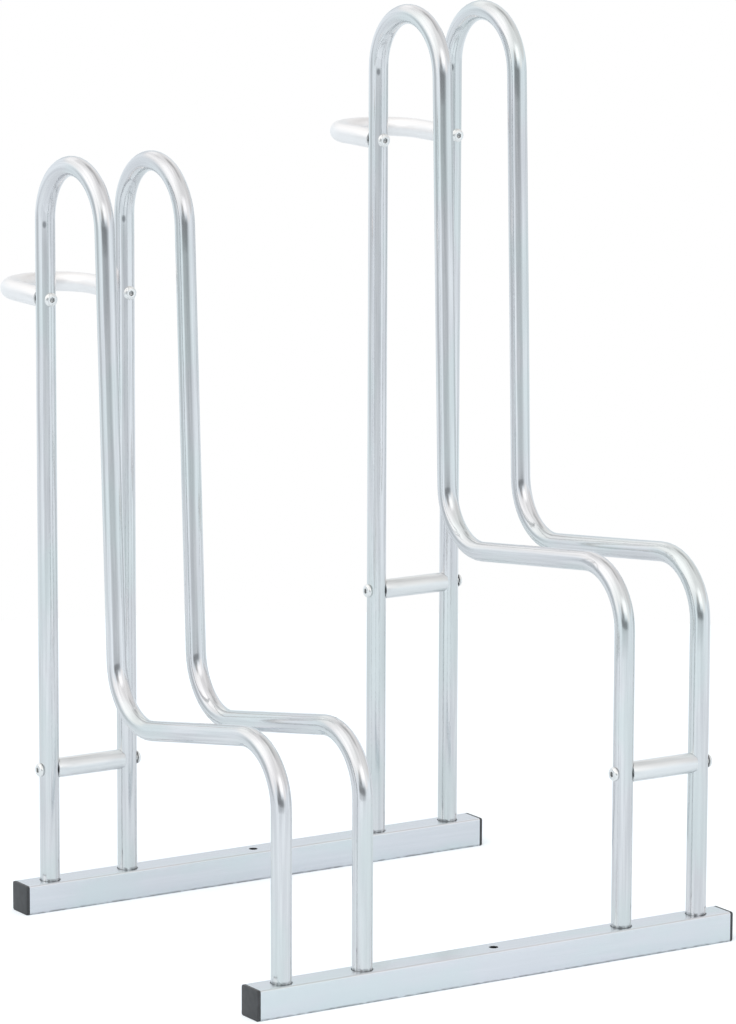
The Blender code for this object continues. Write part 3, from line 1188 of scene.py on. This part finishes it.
@dataclass(frozen=True)
class Cap:
    """A rail's moulded end cap: a hollow ribbed plug and a crowned flange, which faces +X."""

    flange: float = 0.003
    crown: float = 0.0008
    crown_steps: int = 4
    plug: float = 0.016
    plug_half: float = 0.012
    plug_wall: float = 0.002
    rib_half: float = 0.0132
    rib_width: float = 0.0024
    rib_starts: tuple[float, ...] = (0.0055, 0.0125)
    edge: float = 0.0002
    edge_angle: float = radians(50)

    def stations(self) -> list[Pair]:
        """Trace the outline, from the flange's face back into the plug.

        Returns:
            The places along X and the half widths of its steps.
        """
        half = Rail.size / 2
        face = LAYOUT.seat + self.flange
        steps = []
        for step in range(self.crown_steps + 1):
            angle = pi / 2 * step / self.crown_steps
            steps.append((face - self.crown * (1 - cos(angle)), half - self.crown * (1 - sin(angle))))
        steps += [(LAYOUT.seat, half), (LAYOUT.seat, self.plug_half)]
        for start in self.rib_starts:
            back = start - self.rib_width
            steps += [(-back, self.plug_half), (-back, self.rib_half), (-start, self.plug_half)]
        inside = self.plug_half - self.plug_wall
        steps += [(-self.plug, self.plug_half), (-self.plug, inside), (-self.plug_wall, inside)]
        return steps

    def model(self) -> Piece:
        """Model the cap.

        Returns:
            The cap at the origin, as a master for copies.
        """
        steps = self.stations()
        face, half = steps[0]
        bpy.ops.mesh.primitive_plane_add(size=2 * half, location=(face, 0, 0), rotation=(0, -pi / 2, 0))
        piece = named("cap")
        with editing(piece, "VERT"):
            bpy.ops.mesh.select_all(action="SELECT")
            bpy.ops.mesh.bevel(offset=Rail.corner, segments=Rail.corner_steps, affect="VERTICES")
        with editing(piece):
            bpy.ops.mesh.select_all(action="SELECT")
            draw_out(X_AXIS, steps[0], steps[1:])
        with editing(piece, "EDGE"):
            bpy.ops.mesh.select_non_manifold()
            bpy.ops.mesh.edge_face_add()
        close(piece)
        soften(piece, self.edge, self.edge_angle)
        smooth(piece)
        return piece


@dataclass
class Base:
    """Both base rails with their end caps."""

    wardrobe: Wardrobe
    rail: Rail = Rail()
    cap: Cap = Cap()

    def build(self, legs: list[float]) -> None:
        """Build the rails and caps.

        Args:
            legs: Where the legs stand along X.
        """
        master = self.cap.model()
        for end, depth in ENDS:
            piece = self.rail.model(f"{end}_base_rail", depth, legs)
            self.wardrobe.dress(piece, Slot.RAIL, f"{end}_rail")
            for side, sign in SIDES:
                seat = Matrix.Translation((sign * self.rail.length / 2, depth, self.rail.size / 2))
                turn = Matrix.Rotation(0 if sign > 0 else pi, 4, "Z")
                piece = copy_to(master, f"{end}_{side}_end_cap", seat @ turn)
                self.wardrobe.dress(piece, Slot.CAP, f"{end}_{side}_cap")
        bpy.data.objects.remove(master)


@dataclass(frozen=True)
class Masters:
    """The fasteners that are modelled once and copied."""

    button: Piece
    sunk: Piece


@dataclass
class WheelPlace:
    """One wheel place: two hoops with their spacers, wheel stop and screws."""

    wardrobe: Wardrobe
    masters: Masters
    name: str
    middle: float
    top: float
    step: float
    lean: float
    rise: float
    stop_drop: float
    rear_spacer: float
    front_spacer: float | None
    stop_reach: float = 0.107
    cut_reach: float = 2 * TUBE.radius
    inserts: list[str] = field(default_factory=list)

    @property
    def bend(self) -> float:
        """Height at which the top bend starts."""
        return self.top - TUBE.radius - TUBE.bend

    @property
    def stop(self) -> float:
        """Height of the wheel stop's centre line."""
        return self.bend - self.stop_drop

    @property
    def hoops(self) -> list[tuple[str, float]]:
        """Each hoop's side and its place along X."""
        return [(side, self.middle + sign * HOOP_OFFSET) for side, sign in SIDES]

    def hoop_run(self, x: float) -> Run:
        """Draw a hoop's centre line: rear post, top bend, down leg, step and front leg.

        Args:
            x: The hoop's place.

        Returns:
            The run.
        """
        rear = LAYOUT.rail_spacing / 2
        post = Straight(Vector((rear, LAYOUT.leg_end)), Vector((rear, self.bend)))
        over = Bend(Vector((rear - TUBE.bend, self.bend)), TUBE.bend, 0.0, pi - self.lean)
        leg_top = over.end
        slope = tan(self.rise)
        drift = tan(self.lean)
        step_back = (leg_top.x - drift * (leg_top.y - self.step)) / (1 + drift * slope)
        back_corner = Vector((step_back, self.step - step_back * slope))
        front_corner = Vector((-rear, self.step + rear * slope))
        line = [leg_top, back_corner, front_corner, Vector((-rear, LAYOUT.leg_end))]
        sections = (post, over, *rounded(line, TUBE.bend))
        return Run(Vector((x, -LAYOUT.middle_depth, 0)), Y_AXIS, Z_AXIS, sections, Marks.HOOP.begin(x))

    def stop_run(self) -> Run:
        """Draw the wheel stop's centre line, a flat U behind the rear posts.

        Returns:
            The run.
        """
        start = TUBE.radius + LAYOUT.seat - LAYOUT.saddle
        far = self.stop_reach - HOOP_OFFSET
        sections = (Straight(Vector((HOOP_OFFSET, start)), Vector((HOOP_OFFSET, far))),
                    Bend(Vector((0, far)), HOOP_OFFSET, 0.0, pi),
                    Straight(Vector((-HOOP_OFFSET, far)), Vector((-HOOP_OFFSET, start))))
        origin = Vector((self.middle, LAYOUT.rear, self.stop))
        return Run(origin, X_AXIS, Y_AXIS, sections, Marks.STOP.begin(self.middle))

    def spacers(self) -> list[tuple[str, float, float]]:
        """Find the spacers.

        Returns:
            Each spacer's end of the stand, depth and height.
        """
        found = [("rear", LAYOUT.rear, self.rear_spacer)]
        if self.front_spacer is not None:
            found.append(("front", LAYOUT.front, self.front_spacer))
        return found

    def cut(self, radius: float, middle: Vector, axis: Vector) -> Cut:
        """Return a cut that reaches out both ways from its middle."""
        return Cut(radius, middle - axis * self.cut_reach, middle + axis * self.cut_reach)

    def bores(self, x: float) -> list[Cut]:
        """Return the bores through the hoop at a place along X."""
        stop_bore = self.cut(SHANK_BORE, Vector((x, LAYOUT.rear, self.stop)), Y_AXIS)
        return [*(self.cut(SHANK_BORE, Vector((x, depth, height)), X_AXIS)
                  for _, depth, height in self.spacers()), stop_bore]

    def saddles(self, depth: float, height: float) -> list[Cut]:
        """Return the hollows round both hoops' posts, for the ends of what joins them."""
        radius = TUBE.radius + LAYOUT.seat
        return [self.cut(radius, Vector((x, depth, height)), Z_AXIS) for _, x in self.hoops]

    def fasten(self, master: Piece, name: str, place: Matrix) -> None:
        """Put a screw in, and note the insert that it goes into.

        Args:
            master: The screw to copy.
            name: What the screw and the insert are named after.
            place: Where the screw goes.
        """
        screw = copy_to(master, f"{name}_{master.name}", place)
        self.wardrobe.dress(screw, Slot.SCREW, f"{name}_screw")
        self.inserts.append(f"{name}_insert")

    def build_hoops(self) -> None:
        """Build the two hoops and the screws under their legs."""
        for side, x in self.hoops:
            piece = TUBE.bent(f"{self.name}_{side}_hoop_tube", self.hoop_run(x), [], self.bores(x))
            self.wardrobe.dress(piece, Slot.HOOP, f"{self.name}_{side}_hoop")
            for end, depth in ENDS:
                place = facing(Vector((x, depth, LAYOUT.sunk_recess)), -Z_AXIS)
                self.fasten(self.masters.sunk, f"{self.name}_{side}_{end}_leg", place)

    def build_spacers(self) -> None:
        """Build the spacer tubes with their screws."""
        half = HOOP_OFFSET - TUBE.radius - LAYOUT.seat + LAYOUT.saddle
        sections = (Straight(Vector((-half, 0)), Vector((half, 0))),)
        for end, depth, height in self.spacers():
            name = f"{self.name}_{end}_spacer"
            middle = Vector((self.middle, depth, height))
            run = Run(middle, X_AXIS, Y_AXIS, sections, Marks.SPACER.begin(height))
            piece = TUBE.bent(f"{name}_tube", run, self.saddles(depth, height), [])
            self.wardrobe.dress(piece, Slot.SPACER, name)
            for side, sign in SIDES:
                seat = Vector((self.middle + sign * (HOOP_OFFSET + TUBE.radius + LAYOUT.seat), depth, height))
                self.fasten(self.masters.button, f"{name}_{side}", facing(seat, sign * X_AXIS))

    def build_stop(self) -> None:
        """Build the wheel stop with its screws."""
        piece = TUBE.bent(f"{self.name}_stop_tube", self.stop_run(), self.saddles(LAYOUT.rear, self.stop), [])
        self.wardrobe.dress(piece, Slot.STOP, f"{self.name}_wheel_stop")
        for side, x in self.hoops:
            seat = Vector((x, LAYOUT.rear - TUBE.radius - LAYOUT.seat, self.stop))
            self.fasten(self.masters.button, f"{self.name}_stop_{side}", facing(seat, -Y_AXIS))

    def build(self) -> None:
        """Build the whole place."""
        self.build_hoops()
        self.build_spacers()
        self.build_stop()
        for insert in self.inserts:
            self.wardrobe.dress_node(insert, Slot.INSERT)


@dataclass(frozen=True)
class Span:
    """Angles in degrees between which a light rises softly, holds and falls softly."""

    start: float
    full: float
    fading: float
    end: float

    def mask(self, angle: Signal) -> Signal:
        """Return how much of the light there is at an angle.

        Args:
            angle: The angle, of any turn.

        Returns:
            1 within the span, fading to 0 at its ends.
        """
        middle = (self.start + self.end) / 2
        offset = (angle - middle).maths("WRAP", HALF_TURN, -HALF_TURN)
        rise = offset.ramp(self.start - middle, self.full - middle)
        return rise * offset.ramp(self.end - middle, self.fading - middle)


@dataclass(frozen=True)
class Panel:
    """A soft-edged patch of the studio's walls, which only reflections see.

    Bearings count to the right from the camera's side, heights up from the horizon.
    """

    name: str
    bearings: Span
    heights: Span
    level: float
    tint: Colour

    def hang(self, walls: Signal, bearing: Signal, height: Signal) -> Signal:
        """Hang the panel before what is there.

        Args:
            walls: The light of the walls so far.
            bearing: The bearing that is looked along.
            height: The height that is looked along.

        Returns:
            The light of the walls with the panel.
        """
        graph = walls.graph
        mask = self.bearings.mask(bearing) * self.heights.mask(height)
        mask.socket.node.label = self.name
        return graph.blend(mask, walls, tuple(self.level * part for part in self.tint))


COOL = (0.932, 1.0, 1.05)
ALL_ROUND = Span(-200, -190, 190, 200)
WALL = (0.885, 0.95, 0.998)
PANELS = (
    Panel("ceiling", ALL_ROUND, Span(16, 30, 95, 100), 0.91, WHITE),
    Panel("shade in the ceiling", Span(70, 105, 170, 200), Span(46, 56, 66, 76), 0.54, WHITE),
    Panel("back wall", Span(150, 165, 195, 212), Span(5, 9, 16, 22), 0.76, COOL),
    Panel("back window", Span(185, 200, 225, 238), Span(22, 30, 38, 48), 1.10, WHITE),
    Panel("back gap", Span(134, 142, 160, 170), Span(-9, -7, -4, 4), 0.66, COOL),
    Panel("right gap", Span(98, 106, 120, 128), Span(-15, -12, 0, 8), 0.76, COOL),
    Panel("right wall", Span(70, 90, 135, 158), Span(6, 14, 46, 66), 0.79, WHITE),
    Panel("lit wall beside the lamp", Span(30, 42, 60, 74), Span(2, 10, 30, 42), 1.03, WHITE),
    Panel("left gap", Span(-120, -104, -85, -69), Span(-12, -8.5, 2, 18), 0.64, COOL),
    Panel("soft box", Span(-140, -118, -28, 22), Span(6, 32, 95, 100), 1.10, WHITE),
    Panel("heart of the soft box", Span(-112, -86, -62, -24), Span(12, 28, 58, 75), 1.27, WHITE),
    Panel("light under the soft box", Span(-82, -72, -54, -42), Span(-5, 5, 16, 26), 1.14, WHITE),
    Panel("light beside the opening", Span(-62, -52, -44, -34), Span(-13, -10, 2, 8), 1.02, COOL),
    Panel("shade under the opening", Span(-38, -25, 20, 52), Span(-12.8, -8.3, 2, 8), 0.67, COOL),
    Panel("dark opening", Span(-40, -23, 12, 54), Span(-4.5, -2.2, 4, 13), 0.28, COOL),
    Panel("upper opening", Span(-30, -17, -2, 14), Span(4, 10, 13, 24), 0.35, COOL),
    Panel("peak of the opening", Span(-24, -14, -5, 4), Span(12, 17, 21, 33), 0.50, WHITE),
    Panel("lamp", Span(-3, 16, 32, 54), Span(9, 24, 33, 48), 1.38, WHITE),
    Panel("far floor", ALL_ROUND, Span(-100, -95, -14.5, -10), 0.90, COOL),
)


@dataclass(frozen=True)
class Studio:
    """A plain white studio: pale floor, soft light and the photograph's camera."""

    camera_place: Triple = (-2.7279, -4.3591, 1.3785)
    yaw: float = radians(32.313)
    pitch: float = radians(10.632)
    roll: float = radians(0.212)
    focal_pixels: float = 5254.2
    picture_height: int = 1024
    sensor: float = 36.0
    floor_radius: float = 1.5
    floor_sides: int = 128
    floor_colour: Colour = (0.745, 0.80, 0.84)
    floor_glow: float = 0.29
    floor_sheen: float = 0.06
    fill: float = 0.80
    key_size: float = 2.4
    key_power: float = 55.0
    key_place: Triple = (-1.6, -1.8, 3.2)

    def set_camera(self) -> None:
        """Put the camera where the photograph was taken from."""
        data = bpy.data.cameras.new("camera")
        data.sensor_width = self.sensor
        data.lens = self.focal_pixels * self.sensor / self.picture_height
        camera = link("camera", data)
        turn = (Matrix.Rotation(-self.yaw, 4, "Z") @ Matrix.Rotation(pi / 2 - self.pitch, 4, "X")
                @ Matrix.Rotation(self.roll, 4, "Z"))
        camera.matrix_world = Matrix.Translation(self.camera_place) @ turn
        bpy.context.scene.camera = camera

    def floor_shader(self, graph: Graph) -> Signal:
        """Write the floor's shader, matt with a glow that is stronger to the camera.

        Args:
            graph: The material's graph.

        Returns:
            The shader.
        """
        matt = graph.signal("ShaderNodeBsdfDiffuse", {}, {"Color": (*self.floor_colour, 1.0)})
        shown = graph.signal("ShaderNodeLightPath", {}, {}, "Is Camera Ray")
        strength = shown * self.floor_glow + self.floor_sheen
        glow = graph.signal("ShaderNodeEmission", {}, {"Strength": strength})
        return graph.signal("ShaderNodeAddShader", {}, {0: matt, 1: glow})

    def lay_floor(self) -> None:
        """Lay the pale floor, which renders white where nothing shades it."""
        bpy.ops.mesh.primitive_circle_add(vertices=self.floor_sides, radius=self.floor_radius,
                                          fill_type="NGON")
        floor = named("floor")
        floor.data.materials.append(paint("floor_paper", self.floor_shader))

    def hang_light(self) -> None:
        """Hang the soft key light, which shades the floor and stays out of the reflections."""
        data = bpy.data.lights.new("key", "AREA")
        data.shape = "SQUARE"
        data.size = self.key_size
        data.energy = self.key_power
        key = link("key", data)
        place = Vector(self.key_place)
        key.matrix_world = facing(place, place)
        key.visible_glossy = False

    def light_walls(self) -> None:
        """Light the studio's walls: white to the camera, panels in the steel, even on what is matt."""
        world = bpy.data.worlds.new("studio")
        world.use_nodes = True
        bpy.context.scene.world = world
        graph = Graph(world.node_tree)
        x, y, z = graph.split(graph.signal("ShaderNodeTexCoord", {}, {}, "Generated"))
        back = x * -sin(self.yaw) + y * -cos(self.yaw)
        aside = x * cos(self.yaw) + y * -sin(self.yaw)
        bearing = aside.degrees_of("ARCTAN2", back)
        height = z.degrees_of("ARCSINE")
        walls = graph.blend(0.0, WALL, WALL)
        for panel in PANELS:
            walls = panel.hang(walls, bearing, height)
        rays = graph.node("ShaderNodeLightPath", {}, {}).outputs
        mirrored = Signal(graph, rays["Is Glossy Ray"]) + Signal(graph, rays["Is Transmission Ray"])
        light = graph.blend(mirrored, (self.fill,) * 3, walls)
        light = graph.blend(Signal(graph, rays["Is Camera Ray"]), light, WHITE)
        lit = graph.signal("ShaderNodeBackground", {}, {"Color": light, "Strength": 1.0})
        graph.node("ShaderNodeOutputWorld", {}, {"Surface": lit})

    def build(self) -> None:
        """Set up the studio."""
        bpy.context.scene.view_settings.view_transform = "Standard"
        self.set_camera()
        self.lay_floor()
        self.hang_light()
        self.light_walls()


def main() -> None:
    """Build the stand and the studio."""
    logging.basicConfig(level=logging.INFO, format="%(name)s %(message)s", stream=sys.stdout)
    Studio().build()
    wardrobe = Wardrobe()
    masters = Masters(ButtonScrew().model(), SunkScrew().model())
    half = LAYOUT.place_spacing / 2
    places = [
        WheelPlace(wardrobe, masters, "low", -half, top=0.772, step=0.228, lean=radians(2.6),
                   rise=radians(9.7), stop_drop=0.078, rear_spacer=0.145, front_spacer=None),
        WheelPlace(wardrobe, masters, "high", half, top=0.903, step=0.365, lean=radians(1.85),
                   rise=radians(6.8), stop_drop=0.0735, rear_spacer=0.288, front_spacer=0.184),
    ]
    Base(wardrobe).build([x for place in places for _, x in place.hoops])
    for place in places:
        place.build()
    for master in (masters.button, masters.sunk):
        bpy.data.objects.remove(master)


if __name__ == "__main__":
    main()
